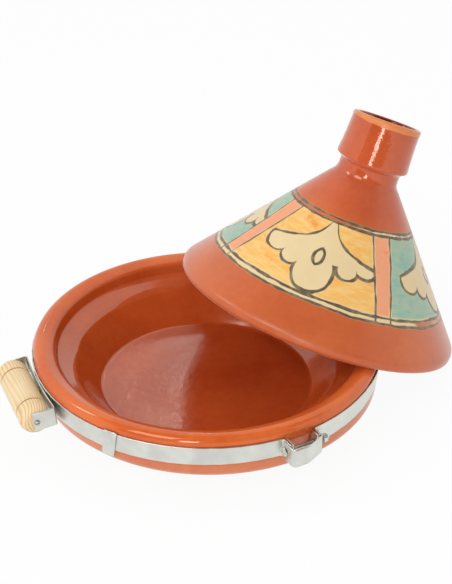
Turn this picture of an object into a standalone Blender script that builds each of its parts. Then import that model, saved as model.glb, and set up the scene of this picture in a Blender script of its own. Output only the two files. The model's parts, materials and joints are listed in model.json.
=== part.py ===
# Tagine: a shallow glazed clay dish held in a clamped steel band with two
# wooden-gripped handles, and its conical clay lid, which leans against the
# dish with its low edge on the table.
# Metres, +Z up. The origin is on the table, under the centre of the dish.

import math

import bmesh
import bpy
from mathutils import Matrix, Vector

MM = 0.001

# Clearances
SEAT_GAP = 0.3 * MM        # between pieces that bear on each other
HOLE_GAP = 0.35 * MM       # around a shank in its hole
FOOT_GAP = 0.2 * MM        # from the lid's low edge to the table

# Facets of the round pieces
CLAY_STEPS = 64
GRIP_STEPS = 28
METAL_STEPS = 16

# Dish
DISH_RADIUS = 155.0 * MM       # outermost point of the rolled rim
DISH_HEIGHT = 66.0 * MM
RIM_ROLL = 7.35 * MM           # radius of the rim's outer roll
RIM_WIDTH = 18.2 * MM          # from the outer roll to the lip above the step
RIM_SLOPE = 6.7 * MM           # width of the rim's top that slopes down to the lip
RIM_FALL = 4.2 * MM            # from the rim's top down to the lip
LIP_ROUND = 1.4 * MM
STEP_DEPTH = 12.5 * MM         # from the rim's top down to the lid's ledge
STEP_SLOPE = 2.8 * MM          # how far the step leans inward going down
LEDGE_WIDTH = 2.5 * MM
LEDGE_FALL = 1.9 * MM
SHELF_WIDTH = 12.0 * MM        # gentle slope inside the ledge
SHELF_FALL = 6.3 * MM
SHELF_ROUND = 5.0 * MM         # where the gentle slope turns into the bowl's wall
FLOOR_FILLET = 2.4 * MM        # between the bowl's wall and its floor
BOWL_DEPTH = 49.0 * MM         # from the rim's top to the edge of the floor
FLOOR_RADIUS = 95.7 * MM
FLOOR_SAG = 1.6 * MM           # the floor's centre lies lower than its edge
FLOOR_SAG_HALFWAY = 0.8        # share of the sag that is reached halfway out
WALL_STAND = 0.3 * MM          # the outer wall stands a little proud of the roll
WALL_TAPER = 0.11              # inward run of the outer wall per unit of drop
ROLL_FOOT = 0.34               # the wall starts this share of the roll below its centre
ROLL_END = -8.0                # degrees from level where the roll ends
ROLL_STEPS = 8
HEEL_HEIGHT = 31.0 * MM        # where the outer wall turns under
HEEL_TURN_UP = 5.8 * MM
HEEL_RUN = 9.6 * MM
HEEL_FALL = 10.8 * MM
FOOT_RADIUS = 110.0 * MM
FOOT_BEVEL = 3.5 * MM

# Lid
LID_RADIUS = 133.0 * MM
LID_WALL = 7.6 * MM            # also the thickness of its rounded edge
LID_EDGE_HEIGHT = 9.2 * MM     # upright edge below the cone
LID_RISE = 1.21                # rise of the cone per unit of inward run
LID_SHOULDER = 3.2 * MM        # rounding from the cone to the upright edge
SHOULDER_DROP = 0.8            # share of the rounding that runs down the upright edge
LID_INNER_EDGE = 0.8           # least height of the inner edge, as a share of the wall
NECK_RADIUS = 28.6 * MM
NECK_HEIGHT = 9.9 * MM
NECK_FILLET = 2.2 * MM         # between the cone and the neck
NECK_ROUND = 1.8 * MM
COLLAR_RADIUS = 34.1 * MM      # chimney at its lower end
COLLAR_FLARE = 4.6 * MM        # height of the step under the chimney
COLLAR_ROUND = 1.2 * MM
COLLAR_INSET = 0.7             # share of the rounding by which the collar's foot is set in
CHIMNEY_WAIST_RADIUS = 31.8 * MM
CHIMNEY_WAIST_HEIGHT = 27.0 * MM
CHIMNEY_TOP_RADIUS = 32.3 * MM
CHIMNEY_HEIGHT = 40.4 * MM
CHIMNEY_WALL = 5.2 * MM
CUP_DEPTH = 37.0 * MM          # depth of the chimney's hollow
CUP_TAPER = 0.8 * MM           # the hollow is this much narrower at its floor
CUP_CORNER = 5.0 * MM
LID_CROWN = 9.0 * MM           # clay between the chimney's hollow and the lid's
CROWN_ROUND = 5.0 * MM

# How the lid leans
LEAN_TILT = math.radians(22.9)
LEAN_AZIMUTH = math.radians(34.85)
LEAN_SAMPLES = 720

# Steel band
STRAP_THICK = 1.1 * MM
STRAP_HEIGHT = 18.2 * MM
STRAP_DROP = 8.6 * MM          # from the rim's top down to the band
SEAM_AZIMUTH = math.radians(239.9)
SEAM_GAP = 0.8 * MM
CORNER_MARGIN = 0.05            # least share of a facet between two of the band's corners

# Clip over the band's seam
CLIP_WIDTH = 12.4 * MM
CLIP_SKEW = 3.5 * MM           # the clip leans sideways by this over the band's height
CLIP_THICK = 1.0 * MM
CLIP_UNDER = 6.4 * MM          # the clip runs on this far below the band
CLIP_LIP = 1.5 * MM            # the clip's top turns in this far over the band's edge
CLIP_RISE = 0.3 * MM           # the lip's rounded back stands above its clearance
CLIP_ROUND = 0.8 * MM

# Clamp that draws the band's ends together
CLAMP_AZIMUTH = math.radians(300.6)
BOLT_RADIUS = 2.0 * MM
BOLT_HEAD_RADIUS = 4.3 * MM
BOLT_HEAD_HEIGHT = 2.6 * MM
BOLT_TAIL = 2.6 * MM           # thread showing beyond the nut
BOLT_STAND = 5.1 * MM          # from the band's outer face out to the bolt's axis
SLOT_WIDTH = 1.0 * MM
SLOT_DEPTH = 1.1 * MM
HEAD_EAR_HALF_GAP = 13.6 * MM  # clamp's middle to the inner leaf at the bolt's head
NUT_EAR_HALF_GAP = 11.4 * MM   # the same at the nut
HEAD_EAR_REACH = 4.5 * MM      # straight leaf beyond the bolt's axis, at its head
NUT_EAR_REACH = 2.5 * MM       # the same at the nut
EAR_TURN = 1.1 * MM            # radius of the hairpin at each ear's tip
EAR_ROOT = 3.0 * MM            # bend from the band into the ear
EAR_RETURN = 0.6 * MM          # the returning leaf stops this far outside the band's line
NUT_FLATS = 7.0 * MM
NUT_THICK = 4.0 * MM
WASHER_RADIUS = 4.5 * MM
WASHER_THICK = 2.4 * MM

# Guard plate bowed over the bolt
GUARD_THICK = 1.1 * MM
GUARD_HEIGHT = 17.0 * MM
GUARD_STAND = 2.0 * MM         # from the band's outer face to the tabs' inner ends
GUARD_CREST = 13.4 * MM        # the bow's crest beyond the bolt's axis
GUARD_CORNER = 4.4 * MM        # rounding from the tab at the bolt's head to the crest
GUARD_FLAT = 7.5 * MM          # length of the crest
GUARD_TURN = 2.0 * MM          # rounding from the crest to the slope
GUARD_END = 5.6 * MM           # the slope's lower end beyond the bolt's axis
GUARD_END_ROUND = 1.6 * MM

# Handles
HANDLE_AZIMUTHS = {"left": math.radians(202.5), "right": math.radians(22.5)}
BRACKET_THICK = 1.1 * MM
BRACKET_BEND = 2.0 * MM
BRACKET_DROP = 1.9 * MM        # the bracket's strip lies lower than the band
BRACKET_BOW = 2.0 * MM         # the plate's ends curve in towards the dish by this
BRACKET_SHARES = (0.75, 0.5, 0.25)   # where the curve has corners, from its end
TAB_BEYOND = 3.0 * MM          # from the screw's axis to the tab's end
GRIP_RADIUS = 13.6 * MM
GRIP_LENGTH = 83.0 * MM
GRIP_DOME = 7.0 * MM           # length of each rounded end
GRIP_END_RADIUS = 8.5 * MM
GRIP_DROP = 2.6 * MM           # the grip's axis is below the band's middle
GRIP_STAND = 0.55 * MM         # between the grip and the plate, for the rivets' heads
GRIP_RING_OFFSET = 24.5 * MM   # from the middle to each turned groove
GRIP_RING_DEPTH = 0.9 * MM
GRIP_RING_WIDTH = 2.4 * MM
PILOT_DEPTH = 17.0 * MM
SCREW_RADIUS = 1.6 * MM
SCREW_LENGTH = 15.0 * MM
SCREW_HEAD_RADIUS = 2.7 * MM
SCREW_HEAD_HEIGHT = 1.5 * MM
RIVET_RADIUS = 1.6 * MM
RIVET_HEAD_RADIUS = 2.5 * MM
RIVET_HEAD_HEIGHT = 0.25 * MM
RIVET_SPREAD = 4.0 * MM        # from the bracket's middle to each rivet
EDGE_BREAK = 0.25 * MM
SHANK_CHAMFER = 0.4            # a shank's tapered tip, as a share of its radius

# Colours, as red, green, blue
CLAY = (0.62, 0.19, 0.07)
STEEL = (0.70, 0.72, 0.70)
WOOD = (0.80, 0.60, 0.36)

# Sizes that follow from the ones above
FLAT = math.cos(math.pi / CLAY_STEPS)   # a facet's middle, as a share of its corner
RIM_CENTRE_RADIUS = DISH_RADIUS - RIM_ROLL
RIM_CENTRE_HEIGHT = DISH_HEIGHT - RIM_ROLL
LID_EDGE_ROUND = LID_WALL / 2
STRAP_TOP = DISH_HEIGHT - STRAP_DROP
STRAP_MIDDLE = STRAP_TOP - STRAP_HEIGHT / 2
STRAP_LEAN = math.atan(WALL_TAPER)
EAR_HALF_GAPS = {-1: HEAD_EAR_HALF_GAP, 1: NUT_EAR_HALF_GAP}
EAR_REACHES = {-1: HEAD_EAR_REACH, 1: NUT_EAR_REACH}
CLAMP_PLACE = Matrix.Rotation(CLAMP_AZIMUTH, 4, "Z")


def wall_radius(height):
    """Radius of the dish's outer wall where the band lies."""
    return DISH_RADIUS + WALL_STAND - WALL_TAPER * (RIM_CENTRE_HEIGHT - height)


def strap_radius(height):
    """Radius of the middle of the band's thickness."""
    return wall_radius(height) + SEAT_GAP + STRAP_THICK / 2


def clear_scene():
    for item in list(bpy.data.objects):
        bpy.data.objects.remove(item, do_unlink=True)


def collection(name):
    group = bpy.data.collections.get(name)
    if group is None:
        group = bpy.data.collections.new(name)
        bpy.context.scene.collection.children.link(group)
    return group


def material(name, colour, roughness, metallic):
    item = bpy.data.materials.get(name)
    if item is None:
        item = bpy.data.materials.new(name)
        item.use_nodes = True
        shader = item.node_tree.nodes["Principled BSDF"]
        shader.inputs["Base Color"].default_value = (*colour, 1.0)
        shader.inputs["Roughness"].default_value = roughness
        shader.inputs["Metallic"].default_value = metallic
    return item


def clay():
    return material("glazed_clay", CLAY, 0.25, 0.0)


def steel():
    return material("strap_steel", STEEL, 0.35, 1.0)


def wood():
    return material("pale_wood", WOOD, 0.6, 0.0)


def add_object(name, mesh, finish, place=None, parent=None):
    item = bpy.data.objects.new(name, mesh)
    mesh.materials.append(finish)
    collection("tagine").objects.link(item)
    item.parent = parent
    if place is not None:
        item.matrix_local = place
    return item


def add_empty(name, place):
    item = bpy.data.objects.new(name, None)
    collection("tagine").objects.link(item)
    item.matrix_world = place
    return item


def shade_round(item, angle=35.0):
    item.data.shade_smooth()
    item.data.set_sharp_from_angle(angle=math.radians(angle))


def arc(centre, radius, start, end, count):
    """Points on an arc in the profile plane, angles in degrees."""
    points = []
    for step in range(count + 1):
        angle = math.radians(start + (end - start) * step / count)
        points.append((centre[0] + radius * math.cos(angle), centre[1] + radius * math.sin(angle)))
    return points


def bend(start, corner, end, count):
    """A smooth turn from start to end that leans towards the corner."""
    points = []
    for step in range(count + 1):
        t = step / count
        a, b, c = (1 - t) ** 2, 2 * t * (1 - t), t ** 2
        points.append(tuple(a * p + b * q + c * r for p, q, r in zip(start, corner, end)))
    return points


def towards(start, end, distance):
    """The point at this distance from the start on the way to the end."""
    share = distance / math.dist(start, end)
    return tuple(a + (b - a) * share for a, b in zip(start, end))


def turned(name, profile, steps, finish, place=None, parent=None):
    """A solid of revolution: the profile runs down its outer side, top to bottom."""
    shape = bmesh.new()
    verts = [shape.verts.new((x, 0.0, z)) for x, z in profile]
    for first, second in zip(verts, verts[1:]):
        shape.edges.new((first, second))
    mesh = bpy.data.meshes.new(name)
    shape.to_mesh(mesh)
    shape.free()
    item = add_object(name, mesh, finish, place, parent)
    spin = item.modifiers.new("spin", "SCREW")
    spin.axis = "Z"
    spin.steps = steps
    spin.render_steps = steps
    spin.use_merge_vertices = True
    spin.merge_threshold = 0.00001
    spin.use_smooth_shade = True
    return item


def ribbon(name, stations, thickness, finish, place=None, parent=None):
    """Sheet metal along a line of stations, each a low and a high point."""
    shape = bmesh.new()
    low, high = (shape.verts.new(point) for point in stations[0])
    edge = shape.edges.new((low, high))
    for low_point, high_point in stations[1:]:
        made = bmesh.ops.extrude_edge_only(shape, edges=[edge])["geom"]
        edge = next(part for part in made if isinstance(part, bmesh.types.BMEdge))
        ends = sorted(edge.verts, key=lambda vert: vert.co.z)
        ends[0].co = low_point
        ends[1].co = high_point
    bmesh.ops.recalc_face_normals(shape, faces=shape.faces)
    mesh = bpy.data.meshes.new(name)
    shape.to_mesh(mesh)
    shape.free()
    item = add_object(name, mesh, finish, place, parent)
    wall = item.modifiers.new("sheet", "SOLIDIFY")
    wall.thickness = thickness
    wall.offset = 0.0
    wall.use_even_offset = True
    wall.use_quality_normals = True
    edges = item.modifiers.new("edges", "BEVEL")
    edges.width = EDGE_BREAK
    edges.segments = 1
    edges.limit_method = "ANGLE"
    edges.angle_limit = math.radians(50)
    return item


def cutter(name, mesh, place):
    item = bpy.data.objects.new(name, mesh)
    collection("tagine_cutters").objects.link(item)
    item.matrix_world = place
    item.hide_render = True
    item.display_type = "WIRE"
    return item


def drill(target, name, radius, length, place):
    """Cut a round hole, along the place's own Z, through the target."""
    shape = bmesh.new()
    bmesh.ops.create_cone(shape, cap_ends=True, segments=METAL_STEPS,
                          radius1=radius, radius2=radius, depth=length)
    mesh = bpy.data.meshes.new(name)
    shape.to_mesh(mesh)
    shape.free()
    subtract(target, cutter(name, mesh, place))


def subtract(target, tool):
    cut = target.modifiers.new(tool.name, "BOOLEAN")
    cut.operation = "DIFFERENCE"
    cut.solver = "EXACT"
    cut.object = tool


def slot(target, head_radius, top, place):
    """Cut a driver's slot across a head whose top is at the given height."""
    shape = bmesh.new()
    bmesh.ops.create_cube(shape, size=1.0)
    size = (3 * head_radius, SLOT_WIDTH, 2 * SLOT_DEPTH)
    bmesh.ops.scale(shape, vec=size, verts=shape.verts)
    mesh = bpy.data.meshes.new(target.name + "_slot")
    shape.to_mesh(mesh)
    shape.free()
    subtract(target, cutter(mesh.name, mesh, place @ Matrix.Translation((0, 0, top))))


def dish_profile():
    """The dish's section, from the middle of its floor over the rim to the base."""
    floor_edge = DISH_HEIGHT - BOWL_DEPTH
    lip = (DISH_RADIUS - RIM_WIDTH, DISH_HEIGHT - RIM_FALL)
    ledge = (lip[0] - STEP_SLOPE, DISH_HEIGHT - STEP_DEPTH)
    shelf_top = (ledge[0] - LEDGE_WIDTH, ledge[1] - LEDGE_FALL)
    shelf_low = (shelf_top[0] - SHELF_WIDTH, shelf_top[1] - SHELF_FALL)
    points = [(0.0, floor_edge - FLOOR_SAG), (FLOOR_RADIUS / 2, floor_edge - FLOOR_SAG_HALFWAY * FLOOR_SAG)]
    wall_foot = towards((FLOOR_RADIUS, floor_edge), shelf_low, FLOOR_FILLET)
    points += bend((FLOOR_RADIUS - FLOOR_FILLET, floor_edge), (FLOOR_RADIUS, floor_edge), wall_foot, 3)
    wall_head = towards(shelf_low, (FLOOR_RADIUS, floor_edge), SHELF_ROUND)
    points += bend(wall_head, shelf_low, towards(shelf_low, shelf_top, SHELF_ROUND), 4)
    points += [shelf_top, ledge]
    rim_top = (lip[0] + RIM_SLOPE, DISH_HEIGHT - LIP_ROUND / 4)
    points += bend(towards(lip, ledge, LIP_ROUND), lip, towards(lip, rim_top, LIP_ROUND), 3)
    points += [rim_top]
    points += arc((RIM_CENTRE_RADIUS, RIM_CENTRE_HEIGHT), RIM_ROLL, 90, ROLL_END, ROLL_STEPS)
    wall_top = RIM_CENTRE_HEIGHT - RIM_ROLL * ROLL_FOOT
    points += [(wall_radius(wall_top), wall_top), (wall_radius(HEEL_HEIGHT), HEEL_HEIGHT)]
    heel = points[-1]
    turn = (wall_radius(HEEL_HEIGHT - HEEL_TURN_UP), HEEL_HEIGHT - HEEL_TURN_UP)
    points += bend(heel, turn, (heel[0] - HEEL_RUN, HEEL_HEIGHT - HEEL_FALL), 5)[1:]
    return points + [(FOOT_RADIUS + FOOT_BEVEL, FOOT_BEVEL), (FOOT_RADIUS, 0.0), (0.0, 0.0)]


def build_dish():
    return turned("dish", dish_profile(), CLAY_STEPS, clay())


def cone_height(radius):
    """Height of the lid's outer cone where it has this radius."""
    return LID_EDGE_HEIGHT + (LID_RADIUS - radius) * LID_RISE


def lid_profile():
    """The lid's section in its own frame, from the chimney's floor to the crown inside."""
    neck_foot = cone_height(NECK_RADIUS)
    neck_top = neck_foot + NECK_HEIGHT
    collar = neck_top + COLLAR_FLARE
    top = collar + CHIMNEY_HEIGHT
    cup_floor = top - CUP_DEPTH
    cup_radius = CHIMNEY_TOP_RADIUS - CHIMNEY_WALL
    cup_low = cup_radius - CUP_TAPER
    edge = CHIMNEY_WALL / 2
    points = [(0.0, cup_floor)]
    points += bend((cup_low - CUP_CORNER, cup_floor), (cup_low, cup_floor),
                   (cup_low, cup_floor + CUP_CORNER), 4)
    points += arc((CHIMNEY_TOP_RADIUS - edge, top - edge), edge, 180, 0, 8)
    waist = (CHIMNEY_WAIST_RADIUS, collar + CHIMNEY_WAIST_HEIGHT)
    points += bend((CHIMNEY_TOP_RADIUS, top - 2 * edge), waist, (COLLAR_RADIUS, collar + COLLAR_ROUND), 5)
    points += [(COLLAR_RADIUS - COLLAR_INSET * COLLAR_ROUND, collar), (NECK_RADIUS + COLLAR_ROUND, neck_top)]
    points += [(NECK_RADIUS, neck_top - NECK_ROUND)]
    cone_start = NECK_RADIUS + NECK_FILLET
    points += bend((NECK_RADIUS, neck_foot + NECK_FILLET), (NECK_RADIUS, neck_foot),
                   (cone_start, cone_height(cone_start)), 3)
    for share in (0.2, 0.4, 0.6, 0.8):
        radius = cone_start + (LID_RADIUS - cone_start) * share
        points.append((radius, cone_height(radius)))
    shoulder_foot = LID_EDGE_HEIGHT - SHOULDER_DROP * LID_SHOULDER
    points += bend((LID_RADIUS - LID_SHOULDER, cone_height(LID_RADIUS - LID_SHOULDER)),
                   (LID_RADIUS, LID_EDGE_HEIGHT), (LID_RADIUS, shoulder_foot), 3)
    points += arc((LID_RADIUS - LID_EDGE_ROUND, LID_EDGE_ROUND), LID_EDGE_ROUND, 0, -180, 8)
    run = LID_WALL / math.sin(math.atan(LID_RISE))
    inner_edge = LID_RADIUS - LID_WALL
    inner_start = LID_EDGE_HEIGHT + (LID_RADIUS - run - inner_edge) * LID_RISE
    points += [(inner_edge, max(inner_start, LID_WALL * LID_INNER_EDGE))]
    crown = cup_floor - LID_CROWN
    crown_radius = LID_RADIUS - run - (crown - LID_EDGE_HEIGHT) / LID_RISE
    for share in (0.25, 0.5, 0.75):
        radius = inner_edge + (crown_radius - inner_edge) * share
        points.append((radius, inner_start + (crown - inner_start) * share))
    points += bend((crown_radius + CROWN_ROUND, crown - CROWN_ROUND * LID_RISE), (crown_radius, crown),
                   (crown_radius / 2, crown), 3)
    points += [(0.0, crown)]
    return points


def lean_gap(offset, centre_height):
    """Room between the lid's rounded edge and the dish's rolled rim."""
    tilt = Matrix.Rotation(LEAN_TILT, 3, "Y")
    ring = LID_RADIUS - LID_EDGE_ROUND
    least = DISH_RADIUS
    for step in range(LEAN_SAMPLES + 1):
        angle = math.pi * step / LEAN_SAMPLES
        point = tilt @ Vector((ring * math.cos(angle), ring * math.sin(angle), LID_EDGE_ROUND))
        out = math.hypot(point.x + offset, point.y) - RIM_CENTRE_RADIUS
        up = point.z + centre_height - RIM_CENTRE_HEIGHT
        least = min(least, math.hypot(out, up) - RIM_ROLL - LID_EDGE_ROUND)
    return least


def lean_place():
    """Where the lid leans: low edge on the table, underside on the dish's rim."""
    ring = LID_RADIUS - LID_EDGE_ROUND
    centre_height = FOOT_GAP + ring * math.sin(LEAN_TILT) + LID_EDGE_ROUND * (1 - math.cos(LEAN_TILT))
    near = 0.5 * DISH_RADIUS
    far = DISH_RADIUS + LID_RADIUS
    for step in range(40):
        middle = (near + far) / 2
        if lean_gap(middle, centre_height) > 2 * SEAT_GAP:
            near, far = near, middle
        else:
            near, far = middle, far
    spin = Matrix.Rotation(LEAN_AZIMUTH, 4, "Z")
    return spin @ Matrix.Translation((far, 0, centre_height)) @ Matrix.Rotation(LEAN_TILT, 4, "Y")


def build_lid():
    return turned("lid", lid_profile(), CLAY_STEPS, clay(), lean_place())


def on_band(azimuth, height):
    radius = strap_radius(height)
    return Vector((radius * math.cos(azimuth), radius * math.sin(azimuth), height))


def band_stations(start, end):
    """Stations along the dish, with corners where the dish has its own."""
    step = 2 * math.pi / CLAY_STEPS
    angles = [start]
    first = math.ceil(start / step + CORNER_MARGIN)
    last = math.floor(end / step - CORNER_MARGIN)
    angles += [n * step for n in range(first, last + 1)]
    angles += [end]
    bottom = STRAP_TOP - STRAP_HEIGHT
    return [(on_band(angle, bottom), on_band(angle, STRAP_TOP)) for angle in angles]


def outer_leaf(side):
    """Where an ear's outer leaf stands along the clamp; side is -1 or 1."""
    return side * (EAR_HALF_GAPS[side] + 2 * EAR_TURN)


def ear_root_azimuth(side):
    """Where the band leaves the dish to become an ear."""
    along = outer_leaf(side) + side * EAR_ROOT
    return CLAMP_AZIMUTH + math.asin(along / strap_radius(STRAP_MIDDLE))


def ear_stations(side):
    """A hairpin ear: out from the band beyond the bolt, around the tip and back."""
    base = strap_radius(STRAP_MIDDLE)
    outer = outer_leaf(side)
    root = outer + side * EAR_ROOT
    start = (root, math.sqrt(base ** 2 - root ** 2))
    corner = (outer, math.sqrt(base ** 2 - outer ** 2))
    plan = bend(start, corner, (outer, corner[1] + EAR_ROOT), 4)[1:]
    tip = bolt_reach() + EAR_REACHES[side]
    middle = outer - side * EAR_TURN
    for step in range(7):
        angle = math.pi * step / 6
        plan.append((middle + side * EAR_TURN * math.cos(angle), tip + EAR_TURN * math.sin(angle)))
    plan.append((side * EAR_HALF_GAPS[side], base + EAR_RETURN))
    stations = []
    for along, out in plan:
        pair = []
        for height in (STRAP_TOP - STRAP_HEIGHT, STRAP_TOP):
            lean = strap_radius(height) - base
            pair.append(CLAMP_PLACE @ Vector((out + lean, along, height)))
        stations.append(tuple(pair))
    return stations


def bolt_reach():
    """Distance from the dish's axis to the bolt's axis."""
    return strap_radius(STRAP_MIDDLE) + STRAP_THICK / 2 + BOLT_STAND


def bolt_place(along):
    """A frame on the bolt's axis whose Z points along the bolt, from its head to its nut."""
    at = Matrix.Translation((bolt_reach(), along, STRAP_MIDDLE))
    return CLAMP_PLACE @ at @ Matrix.Rotation(-math.pi / 2, 4, "X")


def tab_along(side):
    """Distance from the clamp's middle to the middle of a guard tab."""
    return abs(outer_leaf(side)) + STRAP_THICK / 2 + SEAT_GAP + GUARD_THICK / 2


def seat_along(side):
    """Distance from the clamp's middle to a tab's outer face, with its clearance."""
    return tab_along(side) + GUARD_THICK / 2 + SEAT_GAP


def build_bands():
    seam = SEAM_GAP / 2 / strap_radius(STRAP_MIDDLE)
    front = band_stations(SEAM_AZIMUTH + seam, ear_root_azimuth(-1)) + ear_stations(-1)
    back = band_stations(ear_root_azimuth(1), SEAM_AZIMUTH - seam + 2 * math.pi)
    back = list(reversed(ear_stations(1))) + back
    for name, stations, side in (("band_front", front, -1), ("band_back", back, 1)):
        item = ribbon(name, stations, STRAP_THICK, steel())
        shade_round(item)
        leaves = outer_leaf(side) - side * EAR_TURN
        depth = 2 * EAR_TURN + 4 * STRAP_THICK
        drill(item, name + "_bore", BOLT_RADIUS + HOLE_GAP, depth, bolt_place(leaves))


def build_clip():
    """A strip folded over the band's two edges where its lengths meet."""
    half = CLIP_WIDTH / 2 / strap_radius(STRAP_MIDDLE)
    bottom = STRAP_TOP - STRAP_HEIGHT
    face = STRAP_THICK / 2 + SEAT_GAP + CLIP_THICK / 2
    over = STRAP_TOP + SEAT_GAP + CLIP_THICK / 2
    under = bottom - SEAT_GAP - CLIP_THICK / 2
    back = strap_radius(over) + face
    top = over + CLIP_RISE
    section = [(back - CLIP_LIP, top)]
    section += bend((back - CLIP_ROUND, top), (back, top),
                    (strap_radius(STRAP_TOP) + face, STRAP_TOP - CLIP_ROUND), 2)
    section += [(strap_radius(bottom) + face, bottom)]
    section += [(strap_radius(under) + face, bottom - CLIP_UNDER)]
    shape = bmesh.new()
    verts = [shape.verts.new((x, 0.0, z)) for x, z in section]
    edges = [shape.edges.new(pair) for pair in zip(verts, verts[1:])]
    bmesh.ops.spin(shape, geom=verts + edges, cent=(0, 0, 0), axis=(0, 0, 1), angle=2 * half, steps=3)
    to_seam = Matrix.Rotation(SEAM_AZIMUTH - half, 3, "Z")
    bmesh.ops.rotate(shape, cent=(0, 0, 0), matrix=to_seam, verts=shape.verts)
    for vert in shape.verts:
        share = (vert.co.z - STRAP_MIDDLE) / STRAP_HEIGHT
        vert.co.rotate(Matrix.Rotation(share * CLIP_SKEW / back, 3, "Z"))
    bmesh.ops.recalc_face_normals(shape, faces=shape.faces)
    mesh = bpy.data.meshes.new("band_clip")
    shape.to_mesh(mesh)
    shape.free()
    item = add_object("band_clip", mesh, steel())
    sheet = item.modifiers.new("sheet", "SOLIDIFY")
    sheet.thickness = CLIP_THICK
    sheet.offset = 0.0
    sheet.use_even_offset = True
    edges = item.modifiers.new("edges", "BEVEL")
    edges.width = EDGE_BREAK
    edges.segments = 1
    edges.limit_method = "ANGLE"
    edges.angle_limit = math.radians(50)


def guard_plan():
    """The bowed guard seen from above, as distances along the clamp and out from the dish."""
    near, far = tab_along(-1), tab_along(1)
    inner_end = strap_radius(STRAP_MIDDLE) + STRAP_THICK / 2 + GUARD_STAND
    crest = bolt_reach() + GUARD_CREST
    end = (far, bolt_reach() + GUARD_END)
    plan = [(-near, inner_end)]
    plan += bend((-near, crest - GUARD_CORNER), (-near, crest), (GUARD_CORNER - near, crest), 5)
    turn = (GUARD_CORNER - near + GUARD_FLAT + GUARD_TURN, crest)
    plan += bend((turn[0] - GUARD_TURN, crest), turn, towards(turn, end, GUARD_TURN), 3)
    plan += bend(towards(end, turn, GUARD_END_ROUND), end, (far, end[1] - GUARD_END_ROUND), 3)
    return plan + [(far, inner_end)]


def build_guard():
    """A sheet bowed outward over the bolt, with a bored tab at each end."""
    low = STRAP_MIDDLE - GUARD_HEIGHT / 2
    stations = []
    for along, out in guard_plan():
        foot = CLAMP_PLACE @ Vector((out, along, low))
        stations.append((foot, foot + Vector((0, 0, GUARD_HEIGHT))))
    item = ribbon("clamp_guard", stations, GUARD_THICK, steel())
    shade_round(item)
    for side, name in ((-1, "clamp_guard_near_bore"), (1, "clamp_guard_far_bore")):
        drill(item, name, BOLT_RADIUS + HOLE_GAP, 4 * GUARD_THICK, bolt_place(side * tab_along(side)))


def headed_profile(shank, length, head, height):
    """A domed head above Z = 0 and a plain shank below it."""
    chamfer = SHANK_CHAMFER * shank
    points = [(head * x, height * z) for x, z in arc((0, 0), 1.0, 90, 0, 4)]
    points += [(shank, 0.0), (shank, chamfer - length), (shank - chamfer, -length), (0.0, -length)]
    return points


def build_clamp_screw():
    """The bolt with its head at one guard tab, and the washer and nut at the other."""
    seat = seat_along(1)
    length = seat_along(-1) + seat + WASHER_THICK + SEAT_GAP + NUT_THICK + BOLT_TAIL
    flip = Matrix.Rotation(math.pi, 4, "X")
    place = bolt_place(-seat_along(-1)) @ flip
    bolt = turned("clamp_bolt", headed_profile(BOLT_RADIUS, length, BOLT_HEAD_RADIUS, BOLT_HEAD_HEIGHT),
                  METAL_STEPS, steel(), place)
    slot(bolt, BOLT_HEAD_RADIUS, BOLT_HEAD_HEIGHT, place)
    shape = bmesh.new()
    bmesh.ops.create_cone(shape, cap_ends=True, segments=METAL_STEPS * 2, radius1=WASHER_RADIUS,
                          radius2=WASHER_RADIUS, depth=WASHER_THICK)
    mesh = bpy.data.meshes.new("clamp_washer")
    shape.to_mesh(mesh)
    shape.free()
    place = bolt_place(seat + WASHER_THICK / 2)
    washer = add_object("clamp_washer", mesh, steel(), place)
    drill(washer, "clamp_washer_bore", BOLT_RADIUS + HOLE_GAP, 3 * WASHER_THICK, place)
    shape = bmesh.new()
    across = NUT_FLATS / 2 / math.cos(math.pi / 6)
    bmesh.ops.create_cone(shape, cap_ends=True, segments=6, radius1=across, radius2=across, depth=NUT_THICK)
    mesh = bpy.data.meshes.new("clamp_nut")
    shape.to_mesh(mesh)
    shape.free()
    place = bolt_place(seat + WASHER_THICK + SEAT_GAP + NUT_THICK / 2)
    nut = add_object("clamp_nut", mesh, steel(), place)
    drill(nut, "clamp_nut_bore", BOLT_RADIUS + HOLE_GAP, 2 * NUT_THICK, place)


def grip_axis_out():
    """From the bracket plate's middle out to the grip's axis."""
    return BRACKET_THICK / 2 + GRIP_STAND + GRIP_RADIUS


def tab_offset():
    """From the handle's middle to the middle of each end tab."""
    return GRIP_LENGTH / 2 + SEAT_GAP + BRACKET_THICK / 2


def bracket_stations():
    """Stations of the folded bracket, in the handle's frame."""
    end = tab_offset()
    low = -BRACKET_DROP - STRAP_HEIGHT / 2
    high = low + STRAP_HEIGHT
    foot = end - BRACKET_BEND
    plan = [(grip_axis_out() + TAB_BEYOND, end)]
    plan += bend((BRACKET_BEND - BRACKET_BOW, end), (-BRACKET_BOW, end),
                 (-BRACKET_BOW * (foot / end) ** 2, foot), 3)
    plan += [(-BRACKET_BOW * share ** 2, end * share) for share in BRACKET_SHARES]
    plan += [(0.0, 0.0)] + [(x, -y) for x, y in reversed(plan)]
    return [(Vector((x, y, low)), Vector((x, y, high))) for x, y in plan]


def grip_profile():
    """The turned grip's section along its own Z, from its top end down."""
    half = GRIP_LENGTH / 2
    bore = SCREW_RADIUS + HOLE_GAP
    dome = arc((0, 0), 1.0, 90, 0, 5)
    points = [(0.0, half - PILOT_DEPTH), (bore, half - PILOT_DEPTH), (bore, half)]
    spread = GRIP_RADIUS - GRIP_END_RADIUS
    points += [(GRIP_END_RADIUS + spread * x, half - GRIP_DOME + GRIP_DOME * z) for x, z in dome]
    points += [(GRIP_RADIUS, GRIP_RING_OFFSET + GRIP_RING_WIDTH / 2),
               (GRIP_RADIUS - GRIP_RING_DEPTH, GRIP_RING_OFFSET),
               (GRIP_RADIUS, GRIP_RING_OFFSET - GRIP_RING_WIDTH / 2)]
    return points + [(x, -z) for x, z in reversed(points)]


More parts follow.
